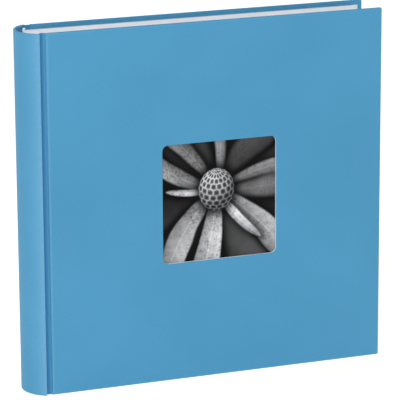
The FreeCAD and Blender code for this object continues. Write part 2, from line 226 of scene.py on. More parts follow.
def print_material():
    """A satin black-and-white print: the picture comes with the mesh, the grain from nodes."""
    made, tree, shader = new_material("photo_print", Specular_IOR_Level=0.05)
    picture = add(tree, "ShaderNodeAttribute", attribute_name="picture").outputs["Color"]
    where = object_place(tree)
    grain = ramp(tree, noise(tree, where, 3600, 2), 0.3, 0.7, 0.88, 1.12)
    sockets = {0: picture, "Scale": grain}
    scaled = add(tree, "ShaderNodeVectorMath", sockets, operation="SCALE").outputs[0]
    roughness = ramp(tree, noise(tree, where, 60, 3), 0.3, 0.7, 0.3, 0.42)
    tooth = noise(tree, where, 2400, 2)
    finish_material(tree, shader, scaled, roughness, tooth, depth=0.00001, strength=0.4)
    return made


def woven_material(name, low, high, pitch, depth, **values):
    """A loose plain weave of a given pitch: crossing threads with open corners between them."""
    made, tree, shader = new_material(name, **values)
    where = object_place(tree)
    split = add(tree, "ShaderNodeSeparateXYZ", {0: where})
    across = math_node(tree, "ADD", split.outputs["X"], split.outputs["Y"])
    turns = 2 * math.pi / pitch
    warp = math_node(tree, "SINE", math_node(tree, "MULTIPLY", across, turns))
    weft = math_node(tree, "SINE", math_node(tree, "MULTIPLY", split.outputs["Z"], turns))
    threads = math_node(tree, "MAXIMUM", warp, weft)
    fuzz = noise(tree, where, 2500, 3)
    height = math_node(tree, "MULTIPLY_ADD", fuzz, 0.5, threads)
    colour = blend_colours(tree, ramp(tree, height, -0.6, 1.1), low, high)
    roughness = ramp(tree, fuzz, 0.3, 0.7, 0.95, 0.8)
    finish_material(tree, shader, colour, roughness, height, depth, strength=0.8)
    return made


def band_material():
    """Sewn silk thread in two pale colours, which alternate by the mesh's own mark."""
    made, tree, shader = new_material("band_thread", Sheen_Weight=0.3, Specular_IOR_Level=0.4)
    thread = add(tree, "ShaderNodeAttribute", attribute_name="thread").outputs["Fac"]
    where = object_place(tree)
    strands = noise(tree, where, 1800, 3, 0.6, (1, 1, 0.3))
    pale = blend_colours(tree, strands, linear(214, 218, 228), linear(246, 247, 250))
    blue = blend_colours(tree, strands, linear(150, 186, 214), linear(184, 210, 230))
    colour = blend_colours(tree, thread, pale, blue)
    roughness = ramp(tree, strands, 0.3, 0.7, 0.7, 0.5)
    finish_material(tree, shader, colour, roughness, strands, depth=0.00008, strength=0.7)
    return made


def glassine_material():
    """Thin translucent paper between the leaves, with a soft crackled emboss."""
    made, tree, shader = new_material("glassine", Specular_IOR_Level=0.45, Alpha=0.62)
    where = object_place(tree)
    cells = add(
        tree, "ShaderNodeTexVoronoi", {"Vector": where, "Scale": 130.0}, feature="DISTANCE_TO_EDGE"
    ).outputs["Distance"]
    lines = ramp(tree, cells, 0.0, 0.06, 1.0, 0.0)
    clouds = math_node(tree, "MULTIPLY", noise(tree, where, 40, 3), 0.5)
    tint = math_node(tree, "MULTIPLY_ADD", lines, 0.5, clouds)
    colour = blend_colours(tree, tint, linear(226, 230, 236), linear(246, 248, 250))
    roughness = ramp(tree, lines, 0, 1, 0.32, 0.5)
    finish_material(tree, shader, colour, roughness, lines, depth=0.00004, strength=0.5)
    return made


def stub_material():
    """The leaves' bound edges and their spacers: pale card, with a fine line of painted shade
    between sheets.
    """
    made, tree, shader = new_material("stub_stack", Specular_IOR_Level=0.2)
    where = object_place(tree)
    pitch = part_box("leaf_02")[0].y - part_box("leaf_01")[0].y
    depth = add(tree, "ShaderNodeSeparateXYZ", {0: where}).outputs["Y"]
    turns = math_node(tree, "MULTIPLY_ADD", depth, 4 * math.pi / pitch, noise(tree, where, 90, 2))
    joint = ramp(tree, math_node(tree, "SINE", turns), 0.2, 0.95)
    fibres = noise(tree, where, 900, 3, 0.6, (0.25, 4, 0.25))
    card = blend_colours(tree, fibres, linear(222, 224, 231), linear(243, 244, 248))
    # painted shade: darker in a fine line where the sheets meet
    faint = math_node(tree, "MULTIPLY", joint, 0.55)
    colour = blend_colours(tree, faint, card, linear(150, 152, 160))
    height = math_node(tree, "MULTIPLY_ADD", joint, -1.0, fibres)
    roughness = ramp(tree, fibres, 0.3, 0.7, 0.9, 0.75)
    finish_material(tree, shader, colour, roughness, height, depth=0.00006, strength=0.7)
    return made


COVERING = covering_material()
BOARD = board_material()
PRINT = print_material()
CARD = paper_material(
    "white_card", linear(232, 234, 241), linear(246, 247, 250), Specular_IOR_Level=0.25
)
ENDPAPER = paper_material(
    "endpaper", linear(202, 205, 212), linear(216, 218, 223), fibre=1200, mottle=24,
    Specular_IOR_Level=0.3,
)
KRAFT = paper_material(
    "kraft_lining", linear(150, 126, 96), linear(190, 166, 132), fibre=700, mottle=60,
    depth=0.00004,
)
GAUZE = woven_material(
    "cotton_gauze", linear(196, 192, 180), linear(240, 238, 230), pitch=1.3 * MM, depth=0.0002,
    Sheen_Weight=0.2,
)
THREAD = band_material()
GLASSINE = glassine_material()
STUBS = stub_material()


# ---------------------------------------------------------------- mesh building
def build_mesh(name, points, faces, material, flat=None, wear_and_painted_light=None, smooth=True):
    """A mesh object with outward normals and, where given, each point's place on the flat
    material and its wear and painted light, as attributes."""
    mesh = bpy.data.meshes.new(name)
    mesh.from_pydata([tuple(p) for p in points], [], faces)
    work = bmesh.new()
    work.from_mesh(mesh)
    bmesh.ops.recalc_face_normals(work, faces=work.faces)
    work.to_mesh(mesh)
    work.free()
    mesh.polygons.foreach_set("use_smooth", [smooth] * len(mesh.polygons))
    if flat is not None:
        stored = np.zeros((len(points), 3), np.float32)
        stored[:, :2] = flat
        layer = mesh.attributes.new("flat", "FLOAT_VECTOR", "POINT")
        layer.data.foreach_set("vector", stored.ravel())
    if wear_and_painted_light is not None:
        layer = mesh.attributes.new("wear_and_painted_light", "FLOAT", "POINT")
        layer.data.foreach_set("value", np.asarray(wear_and_painted_light, np.float32))
    mesh.materials.append(material)
    piece = bpy.data.objects.new(name, mesh)
    bpy.context.scene.collection.objects.link(piece)
    return piece


def tube_faces(first, second, count):
    """Faces between two closed rings of points, given the number of each ring's first point."""
    return [
        (first + i, first + (i + 1) % count, second + (i + 1) % count, second + i)
        for i in range(count)
    ]


def loft(name, rings, material, flats=None, wears_and_painted_light=None, ends="face"):
    """Closed rings of equal length joined in turn. The ends are one face each, or a strip across a
    ring that goes out along one side and comes back along the other, or joined to each other."""
    count = len(rings[0])
    faces = []
    pairs = list(zip(range(len(rings)), range(1, len(rings))))
    if ends == "joined":
        pairs.append((len(rings) - 1, 0))
    for a, b in pairs:
        faces += tube_faces(a * count, b * count, count)
    for first in (0, (len(rings) - 1) * count):
        if ends == "face":
            faces.append(tuple(first + i for i in range(count)))
        elif ends == "strip":
            last = first + count - 1
            faces += [
                (first + i, first + i + 1, last - 1 - i, last - i) for i in range(count // 2 - 1)
            ]
    flat = None if flats is None else np.concatenate(flats)
    wear_and_painted_light = None if wears_and_painted_light is None else np.concatenate([np.broadcast_to(w, count) for w in wears_and_painted_light])
    return build_mesh(name, np.concatenate(rings), faces, material, flat, wear_and_painted_light)


def outline(x0, x1, z0, z1, spine_round, fore_round, sides=20, arcs=7):
    """Points round a rectangle in x and z whose spine corners and fore corners are rounded."""
    corners = [
        (x1, z0, 1, -1, -90, fore_round),
        (x1, z1, 1, 1, 0, fore_round),
        (x0, z1, -1, 1, 90, spine_round),
        (x0, z0, -1, -1, 180, spine_round),
    ]
    turns = []
    for x, z, across, up, start, radius in corners:
        angles = np.radians(np.linspace(start, start + 90, arcs))
        middle = np.array([x - across * radius, z - up * radius])
        turns.append(middle + radius * np.stack([np.cos(angles), np.sin(angles)], 1))
    parts = []
    for turn, following in zip(turns, turns[1:] + turns[:1]):
        share = np.linspace(0, 1, sides + 1)[1:-1, None]
        parts += [turn, turn[-1] * (1 - share) + following[0] * share]
    return np.concatenate(parts)


def at_depth(plan, y):
    """Plan points in x and z, at a given y."""
    return np.stack([plan[:, 0], np.full(len(plan), y), plan[:, 1]], 1)


def at_height(plan, z, side=1):
    """Plan points in x and y, at a given z. Side -1 mirrors them to the front."""
    return np.stack([plan[:, 0], side * plan[:, 1], np.full(len(plan), z)], 1)


def distances(line):
    """How far each point of a line is from its first, along it."""
    steps = np.linalg.norm(np.diff(line, axis=0), axis=1)
    return np.concatenate([[0], np.cumsum(steps)])


def quarter(radius, steps=5):
    """(inset, depth) points of a rounded edge, from the face round to the side."""
    return [
        (radius * (1 - math.sin(a)), radius * (1 - math.cos(a)))
        for a in np.radians(np.linspace(0, 90, steps))
    ]


# ---------------------------------------------------------------- the case
def cover_paper(side, name, node, body):
    """The covering of one board: outer face, rounded edges, turn-ins and, in front, the window.
    Its rings are (inset, inset at the spine edge, depth), out over the edge and back inside."""
    outer_round, inner_round, spine_corner = 0.8 * MM, 0.55 * MM, 0.5 * MM
    margin = 2.2 * MM
    # the outer edge is lighter: a little rubbed wear all round, and a painted highlight that grows
    # towards the spine edge
    wear_and_highlight, highlight_reach = 0.45, 4 * MM
    far = COVER_GAUGE
    edge = [(inset, 2 * inset, depth) for inset, depth in quarter(outer_round)]
    back = [(inset, inset, far - depth) for inset, depth in reversed(quarter(inner_round))]
    spine_stop = 0.7 * MM
    skin = [(margin, margin, 0)] + edge + back
    skin += [(1.4 * MM, spine_stop, far), (TURN_IN - 0.3 * MM, spine_stop, far)]
    skin += [(TURN_IN, spine_stop, far - 0.1 * MM)]
    lining = [(TURN_IN, spine_stop, far - PAPER), (PAPER, PAPER, far - PAPER)]
    lining += [(PAPER, PAPER, PAPER), (margin, margin, PAPER)]

    def ring(inset, spine_inset, depth):
        plan = outline(
            EDGE + spine_inset, FORE - inset, TAIL + inset, HEAD - inset,
            max(spine_corner - spine_inset, CLEAR), max(CORNER_ROUND - inset, CLEAR),
        )
        return at_depth(plan, side * (OUTSIDE - depth))

    rings, flats, wears_and_painted_light = [], [], []
    wrapped = margin
    last = skin[0]
    for inset, spine_inset, depth in skin + lining:
        wrapped -= math.hypot(inset - last[0], depth - last[2])
        last = (inset, spine_inset, depth)
        rings.append(ring(*last))
        flats.append(
            outline(EDGE + wrapped, FORE - wrapped, TAIL + wrapped, HEAD - wrapped, CLEAR, CLEAR)
        )
        # painted highlight on the edge at the spine, over a little wear on every edge; the other
        # rings stay plain
        by_joint = np.clip(1 - (rings[-1][:, 0] - EDGE) / highlight_reach, 0.3, 1)
        wears_and_painted_light.append(wear_and_highlight * by_joint if last in edge[:4] else 0.0 * by_joint)

    if side < 0:
        x0, x1 = print_low.x + PRINT_LAP, print_high.x - PRINT_LAP
        z0, z1 = print_low.z + PRINT_LAP, print_high.z - PRINT_LAP
        # each ring of the window's edge: how far outside the window, and how deep
        rim = [(0, PAPER), (0, 0.16 * MM), (0.05 * MM, 0.05 * MM), (0.16 * MM, 0), (1.0 * MM, 0)]
        hole = []
        for reach, depth in rim:
            corner = WINDOW_ROUND + reach
            plan = outline(x0 - reach, x1 + reach, z0 - reach, z1 + reach, corner, corner)
            hole.append(at_depth(plan, side * (OUTSIDE - depth)))
    else:
        # a whole face starts from a small patch at its middle
        across, up = (EDGE + FORE) / 2, (TAIL + HEAD) / 2
        reach = 4 * MM
        core = outline(across - reach, across + reach, up - reach, up + reach, MM, MM)
        hole = [at_depth(core, side * (OUTSIDE - PAPER)), at_depth(core, side * OUTSIDE)]
    face = [hole[-1] * (1 - t) + rings[0] * t for t in (0.25, 0.5, 0.75)]
    under = [rings[-1] * (1 - t) + hole[0] * t for t in (0.33, 0.67)]
    if side < 0:
        ordered = hole + face + rings + under
    else:
        ordered = hole[1:] + face + rings + under + hole[:1]
    plain = [r[:, [0, 2]] for r in ordered]
    start = len(ordered) - len(rings) - len(under) - (0 if side < 0 else 1)
    for index, flat in enumerate(flats):
        plain[start + index] = flat
    wear_and_painted_light = [np.zeros(len(rings[0]))] * len(ordered)
    wear_and_painted_light[start:start + len(wears_and_painted_light)] = wears_and_painted_light
    piece = loft(name, ordered, COVERING, plain, wear_and_painted_light, "joined" if side < 0 else "face")
    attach(piece, body)
    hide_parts(node)


def groove_paper(side, name, node):
    """The covering across one groove: off the spine's shoulder, over the floor, up to the board."""
    left_round = 1.5 * MM
    right_run, right_rise = 2.4 * MM, 1.85 * MM
    left_top, right_top = FLOOR + 2.4 * MM, FLOOR + 2 * MM
    steps = np.radians(np.linspace(0, 90, 8))
    left = [
        (SHOULDER + left_round * (1 - math.cos(a)), FLOOR + left_round * (1 - math.sin(a)))
        for a in steps
    ]
    right = [
        (EDGE - right_run * (1 - math.cos(a)), FLOOR + right_rise * (1 - math.sin(a)))
        for a in reversed(steps)
    ]
    run = [(x, FLOOR) for x in np.linspace(left[-1][0], right[0][0], 8)[1:-1]]
    tight, edge_highlight_width = 0.05 * MM, 0.9 * MM
    profile = [(SHOULDER, left_top), (SHOULDER, left_top - tight)] + left + run + right
    profile = np.array(profile + [(EDGE, right_top - tight), (EDGE, right_top)])
    along = np.gradient(profile, axis=0)
    normal = np.stack([-along[:, 1], along[:, 0]], 1) / np.linalg.norm(along, axis=1)[:, None]
    if normal[len(normal) // 2, 1] > 0:
        normal = -normal
    inner = profile + normal * PAPER
    inner[:, 0] = np.clip(inner[:, 0], SHOULDER - PAPER, EDGE + PAPER)
    walked = distances(profile)
    middle = (profile + inner) / 2
    rings, flats = [], []
    # the paper's edge at head and tail is rounded: how far from the end, and the share of its gauge
    ends = [(0, 0.08), (0.06 * MM, 0.6), (0.18 * MM, 0.9), (0.4 * MM, 1.0)]
    levels = [(TAIL + z, share) for z, share in ends]
    levels += [(z, 1.0) for z in np.linspace(TAIL, HEAD, 26)[1:-1]]
    levels += [(HEAD - z, share) for z, share in reversed(ends)]
    for z, share in levels:
        out, back = middle + (profile - middle) * share, middle + (inner - middle) * share
        plan = np.concatenate([out, back[::-1]])
        rings.append(at_height(plan, z, side))
        u = EDGE - np.concatenate([walked, walked[::-1]])
        flats.append(np.stack([u, np.full(len(plan), z)], 1))
    # painted shade on the groove's floor next to the spine's shoulder, where its shadow falls, and
    # a painted highlight up the rise to the board's edge
    painted_shade = np.clip((EDGE - edge_highlight_width - profile[:, 0]) / (1.3 * MM), 0, 1)
    painted_shade = painted_shade * np.clip((profile[:, 0] - SHOULDER) / (0.2 * MM), 0.4, 1)
    wear_and_painted_light = 0.5 * np.clip(1 - (EDGE - profile[:, 0]) / edge_highlight_width, 0, 1) - painted_shade
    wear_and_painted_light = np.concatenate([wear_and_painted_light, wear_and_painted_light[::-1]])
    piece = loft(name, rings, COVERING, flats, [wear_and_painted_light] * len(rings), "strip")
    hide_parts(node)
    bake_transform(piece)


def spine_ring(inset, inner_radius):
    """Plan points of the spine's wall, thinner all round by an inset."""
    centre = spine_low.x + SPINE_RADIUS
    outer = SPINE_RADIUS - inset
    inner = inner_radius + inset
    end = SHOULDER - inset - centre
    fillet = max(0.8 * MM - inset, 0.05 * MM)
    fx = end - fillet
    fy = math.sqrt((outer - fillet) ** 2 - fx ** 2)
    tangent = math.atan2(fy, fx)
    shoulder = [
        (fx + fillet * math.cos(a), fy + fillet * math.sin(a)) for a in np.linspace(0, tangent, 6)
    ]
    crest = [
        (outer * math.cos(a), outer * math.sin(a))
        for a in np.linspace(tangent, 2 * math.pi - tangent, 45)[1:-1]
    ]
    low = math.atan2(math.sqrt(inner ** 2 - end ** 2), end)
    inside = [
        (inner * math.cos(a), inner * math.sin(a))
        for a in np.linspace(2 * math.pi - low, low, 55)
    ]
    ring = shoulder + crest + [(x, -y) for x, y in reversed(shoulder)] + inside
    return np.array([(centre + x, y) for x, y in ring])


def spine_paper():
    """The covering round the spine card, folded over it at head and tail, rubbed along its folds,
    and lightened along its front and back shoulders by a painted highlight."""
    card_side = SPINE_RADIUS - SPINE_GAUGE
    bare_side = card_side + 0.5 * MM
    half = SPINE_GAUGE / 2 - CLEAR
    # wear where the paper folds at head and tail; a painted highlight that rises over 15 mm to the
    # front and back shoulders
    rubbed_fold, shoulder_highlight, highlight_reach = 0.4, 0.85, 15 * MM
    levels = [
        (half * (1 - math.cos(a)), half * (1 - math.sin(a)), card_side)
        for a in np.radians(np.linspace(0, 90, 6))
    ]
    levels += [(2 * MM, 0, card_side), (TURN_IN, 0, card_side), (TURN_IN + 0.01 * MM, 0, bare_side)]
    full = [(TAIL + z, inset, radius) for z, inset, radius in levels]
    full += [(z, 0, bare_side) for z in np.linspace(TAIL + TURN_IN, HEAD - TURN_IN, 16)[1:-1]]
    full += [(HEAD - z, inset, radius) for z, inset, radius in reversed(levels)]
    rings, flats, wears_and_painted_light = [], [], []
    for z, inset, radius in full:
        plan = spine_ring(inset, radius)
        rings.append(at_height(plan, z))
        flats.append(np.stack([EDGE - 8 * MM - distances(plan), np.full(len(plan), z)], 1))
        folded = rubbed_fold if 0.2 * half < inset < 0.9 * half else 0.0
        # painted highlight, strongest at the shoulders, together with the folds' wear
        ridge = np.clip(1 - (SHOULDER - 0.4 * MM - plan[:, 0]) / highlight_reach, 0, 1)
        wears_and_painted_light.append(np.maximum(folded, shoulder_highlight * ridge ** 2.2))
    piece = loft("spine_cover_paper", rings, COVERING, flats, wears_and_painted_light, "strip")
    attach(piece, "block")
    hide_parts("spine_covering")


def spine_inlay():
    """The white paper that lines the hollow spine, over its card and the ends of the turn-ins."""
    centre = spine_low.x + SPINE_RADIUS
    outer = SPINE_RADIUS - SPINE_GAUGE - CLEAR
    gauge, lap = 0.15 * MM, 3 * MM
    inner = outer - gauge
    reach = math.acos((SHOULDER - 0.8 * MM - centre) / outer)
    angles = np.linspace(reach, 2 * math.pi - reach, 40)
    plan = [(centre + outer * math.cos(a), outer * math.sin(a)) for a in angles]
    plan += [(centre + inner * math.cos(a), inner * math.sin(a)) for a in reversed(angles)]
    plan = np.array(plan)
    margin = TURN_IN - lap
    rings = [at_height(plan, z) for z in np.linspace(TAIL + margin, HEAD - margin, 12)]
    piece = loft("spine_inlay", rings, ENDPAPER, ends="strip")
    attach(piece, "block")


def hinge_paper(side, name):
    """The endpaper where it lines a groove, from the pastedown to the block's shoulder."""
    gauge = 0.12 * MM
    inner = -strip_high.y
    profile = [(EDGE + 0.6 * MM, inner + 0.25 * MM), (EDGE, inner + 0.12 * MM)]
    crossing = np.linspace(EDGE - 0.5 * MM, SHOULDER + 0.1 * MM, 14)
    profile = np.array(profile + [(x, inner + CLEAR) for x in crossing])
    lower = profile - [0, gauge]
    plan = np.concatenate([profile, lower[::-1]])
    margin = pastedown_low.z
    rings = [at_height(plan, z, side) for z in np.linspace(TAIL + margin, HEAD - margin, 14)]
    piece = loft(name, rings, ENDPAPER, ends="strip")
    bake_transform(piece)


# ---------------------------------------------------------------- the print
def smooth_step(value, low, high):
    """0 below low, 1 above high, and a smooth rise between them."""
    t = np.clip((value - low) / (high - low), 0, 1)
    return t * t * (3 - 2 * t)


def cloud(u, v, cells, seed):
    """Smooth random values from 0 to 1 over the picture, so many cells across."""
    grid = np.random.default_rng(seed).random((cells + 4, cells + 4))
    x, y = (u + 2) / 4 * cells + 1, (v + 2) / 4 * cells + 1
    i, j = np.floor(x).astype(int), np.floor(y).astype(int)
    i, j = np.clip(i, 0, cells + 2), np.clip(j, 0, cells + 2)
    s, t = smooth_step(x - i, 0, 1), smooth_step(y - j, 0, 1)
    low = grid[i, j] * (1 - s) + grid[i + 1, j] * s
    high = grid[i, j + 1] * (1 - s) + grid[i + 1, j + 1] * s
    return low * (1 - t) + high * t


def paint_leaf(tone, u, v, leaf):
    """One lance-shaped leaf over a picture: a lit half and a dark one, a pale midrib, side veins
    and specks."""
    heading, length, width, light, bend, focus, seed = leaf
    shadow, blur_limit, midrib = 0.09, 0.12, 0.011
    turn = math.radians(heading)
    along = u * math.cos(turn) + v * math.sin(turn)
    across = -u * math.sin(turn) + v * math.cos(turn) - bend * along ** 2
    share = np.clip(along / length, 1e-3, 1)
    half = width * 2.0 * share ** 0.8 * np.clip(1 - share, 0, 1) ** 0.5 + 1e-4
    half = half * (0.9 + 0.2 * cloud(u, v, 14, seed))
    beyond = np.maximum(along - length, -along)
    outside = -np.hypot(beyond, np.maximum(np.abs(across) - half, 0))
    edge = np.where(beyond > 0, outside, half - np.abs(across))
    tone = tone * (1 - 0.7 * np.exp(-(np.clip(-edge, 0, 1) / shadow) ** 2))
    slope = np.clip(across / half, -1, 1)
    mottle = 0.42 * cloud(u, v, 6, seed + 50) + 0.2 * cloud(u, v, 38, seed + 60)
    shade = 0.8 * light * (0.55 + 0.38 * slope + mottle)
    crisp = np.clip(1 - focus / blur_limit, 0, 1)
    veins = np.sin(40 * (along - 0.8 * np.abs(across)) + 5 * cloud(u, v, 9, seed + 9))
    shade = shade * (1 + 0.07 * crisp * veins)
    specks = cloud(u, v, 190, seed + 77) * (0.5 + 0.5 * cloud(u, v, 12, seed + 5))
    shade = shade * (1 - crisp * 0.55 * smooth_step(specks, 0.3, 0.75))
    shade = shade + 0.4 * crisp * light * np.exp(-(across / midrib) ** 2) * (1 - 0.6 * share)
    shade = shade * (0.35 + 0.8 * np.exp(-((share - 0.5) / 0.4) ** 2))
    cover = smooth_step(edge, -0.3 * focus, 0.012 + focus)
    return tone * (1 - cover) + np.clip(shade, 0, 1) * cover


def paint_bud(tone, u, v, radius):
    """A bud of scales, in staggered rows round an axis that leans towards the viewer."""
    scales_round, row_angle, tallness, shadow = 16, 0.27, 1.14, 0.3
    x, y = u / radius, v / radius / tallness
    distance = np.hypot(x, y)
    z = np.sqrt(np.clip(1 - distance ** 2, 0, 1))
    lean = math.radians(30)
    height = y * math.cos(lean) + z * math.sin(lean)
    front = z * math.cos(lean) - y * math.sin(lean)
    turn = np.arctan2(x, front) * scales_round / (2 * math.pi)
    row = np.arccos(np.clip(height, -1, 1)) / row_angle
    gaps = []
    for step in (-0.5, 0.5, 1.5):
        level = np.floor(row) + step
        shift = np.mod(np.floor(level), 2) / 2
        nearest = np.round(turn - shift) + shift
        gaps += [np.hypot(0.85 * (turn - nearest - c), row - level) for c in (-1, 0, 1)]
    gaps = np.sort(np.stack(gaps), axis=0)
    inside = smooth_step(gaps[1] - gaps[0], 0.06, 0.26)
    lit = 0.25 + 0.95 * np.clip(-0.35 * x + 0.6 * y + 0.7 * z, 0, 1) ** 1.3
    rough = 0.75 + 0.5 * cloud(u, v, 120, 91)
    rims = 0.52 * (1 - inside)
    faces = 0.04 + 0.12 * inside * smooth_step(gaps[0], 0.1, 0.4)
    shade = lit * rough * (rims + faces)
    tone = tone * (1 - 0.85 * np.exp(-(np.clip(distance - 1, 0, 9) / shadow) ** 2))
    cover = smooth_step(1 - distance, 0.0, 0.05)
    return tone * (1 - cover) + shade * cover


def botanical(count):
    """A generic black-and-white plant study, in linear light: leaves round a scaly bud."""
    v, u = np.mgrid[-1:1:count * 1j, -1:1:count * 1j]
    tone = 0.006 + 0.03 * cloud(u, v, 5, 3) ** 3
    u, v = u + 0.04, v - 0.16   # the bud's middle
    leaves = (
        # heading, length, width, light, bend, focus
        (14, 2.4, 0.34, 0.035, 0.10, 0.14), (58, 2.0, 0.30, 0.07, -0.18, 0.08),
        (104, 1.7, 0.22, 0.06, 0.15, 0.12), (139, 2.2, 0.30, 0.03, -0.10, 0.14),
        (196, 2.4, 0.36, 0.035, 0.08, 0.14), (236, 2.4, 0.34, 0.05, -0.06, 0.10),
        (292, 2.6, 0.40, 0.09, 0.05, 0.12), (352, 2.4, 0.30, 0.20, 0.16, 0.07),
        (76, 1.9, 0.15, 0.26, 0.22, 0.03), (121, 1.8, 0.17, 0.22, 0.14, 0.03),
        (166, 1.9, 0.19, 0.34, -0.20, 0.025), (26, 2.2, 0.16, 0.24, -0.16, 0.03),
        (327, 2.4, 0.27, 0.42, -0.12, 0.02), (221, 1.9, 0.26, 0.40, 0.20, 0.02),
        (266, 2.1, 0.27, 0.56, -0.08, 0.015), (187, 0.8, 0.07, 0.55, -0.2, 0.012),
        (301, 1.05, 0.10, 0.62, 0.18, 0.01),
    )
    for seed, leaf in enumerate(leaves):
        tone = paint_leaf(tone, u, v, (*leaf, seed))
    darkest, lightest = 0.003, 0.9
    return np.clip(paint_bud(tone, u, v, 0.29), darkest, lightest)


def print_sheet():
    """The print behind the window: a dense sheet that carries its picture in its points."""
    count = 240
    xs = np.linspace(print_low.x, print_high.x, count)
    zs = np.linspace(print_low.z, print_high.z, count)
    x, z = np.meshgrid(xs, zs)
    front = np.stack([x, np.full_like(x, print_low.y), z], -1).reshape(-1, 3)
    faces = [
        (r * count + c, r * count + c + 1, (r + 1) * count + c + 1, (r + 1) * count + c)
        for r in range(count - 1)
        for c in range(count - 1)
    ]
    border = list(range(count)) + [r * count + count - 1 for r in range(1, count)]
    border += [(count - 1) * count + c for c in range(count - 2, -1, -1)]
    border += [r * count for r in range(count - 2, 0, -1)]
    back = front[border].copy()
    back[:, 1] = print_high.y
    first = len(front)
    for i in range(len(border)):
        j = (i + 1) % len(border)
        faces.append((border[j], border[i], first + i, first + j))
    faces.append(tuple(first + i for i in range(len(border))))
    piece = build_mesh("print_sheet", np.concatenate([front, back]), faces, PRINT, smooth=False)
    bare = 0.8
    grey = np.concatenate([botanical(count).ravel(), np.full(len(back), bare)])
    colour = np.stack([grey, grey, grey * 1.02, np.ones_like(grey)], 1).astype(np.float32)
    layer = piece.data.color_attributes.new("picture", "FLOAT_COLOR", "POINT")
    layer.data.foreach_set("color", colour.ravel())
    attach(piece, "front_cover")
    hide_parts("cover_picture")


# ---------------------------------------------------------------- leaves and endpapers
def slab(name, xs, zs, near, far, material):
    """A thin sheet over a grid of x and z, between two surfaces y = near(x, z) and far(x, z)."""
    x, z = np.meshgrid(xs, zs, indexing="ij")
    columns, rows = x.shape
    points = [np.stack([x, f(x, z), z], -1).reshape(-1, 3) for f in (near, far)]
    count = columns * rows
    faces = []
    for i in range(columns - 1):
        for j in range(rows - 1):
            a, b = i * rows + j, (i + 1) * rows + j
            c, d = b + 1, a + 1
            faces += [(a, b, c, d), (count + a, count + d, count + c, count + b)]
    border = [i * rows for i in range(columns)]
    border += [(columns - 1) * rows + j for j in range(1, rows)]
    border += [i * rows + rows - 1 for i in range(columns - 2, -1, -1)]
    border += list(range(rows - 2, 0, -1))
    for a, b in zip(border, border[1:] + border[:1]):
        faces.append((a, count + a, count + b, b))
    return build_mesh(name, np.concatenate(points), faces, material, smooth=False)


def ripple(x, z, seed):
    """How far a leaf stands off its flat plane: a wave that all share, and a little of its own."""
    reach = np.clip((x - EDGE) / (FORE - EDGE), 0, 1)
    shared = 0.10 * MM * np.sin(2.1 * math.pi * (z / HEAD) + 0.4) * reach ** 2
    own = 0.05 * MM * np.sin(9 * z / HEAD + seed * 1.7) * reach ** 3
    return shared + own


def bound_sheet(number, node, name, material):
    """One sheet of the block, from its fold at the stub to its fore edge. A flyleaf, number 0 or
    one past the last leaf, starts at the spine's shoulder and lies over the hinge there."""
    low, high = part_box(node)
    score = low.x - SCORE_LAND
    start = score - SCORE_ROOM
    xs = [start, start + 0.1 * MM, start + 0.2 * MM, score, low.x, low.x + 2 * MM]
    xs += list(np.linspace(low.x, high.x, 13)[1:])
    zs = np.linspace(low.z, high.z, 13)
    flyleaf = number in (0, LEAVES + 1)
    side, lift = (-1 if number == 0 else 1), 0.34 * MM
    if flyleaf:
        xs = list(np.linspace(SHOULDER + 0.1 * MM, start, 14)[:-1]) + xs

    def face(y):
        def surface(x, z):
            lifted = y + ripple(x, z, number)
            if flyleaf:
                rise = smooth_step(-x, -(EDGE + 0.6 * MM), -(EDGE - 1.2 * MM)) * lift
                lifted = lifted + side * rise
            return lifted
        return surface

    piece = slab(name, np.array(xs), zs, face(low.y), face(high.y), material)
    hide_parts(node)
    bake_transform(piece)


def interleaf(number):
    """The sheet of glassine on one leaf, which turns with it."""
    node = f"leaf_{number:02}"
    low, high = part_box(node)
    away = -1 if number <= LEAVES / 2 else 1
    middle = (low.y + high.y) / 2 + away * 0.45 * MM
    gauge = 0.05 * MM
    xs = np.linspace(low.x + 0.6 * MM, high.x - 1.0 * MM, 9)
    zs = np.linspace(low.z, high.z - 0.15 * MM, 9)
    piece = slab(
        f"interleaf_{number:02}", xs, zs,
        lambda x, z: middle - gauge / 2 + ripple(x, z, number),
        lambda x, z: middle + gauge / 2 + ripple(x, z, number),
        GLASSINE,
    )
    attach(piece, node)


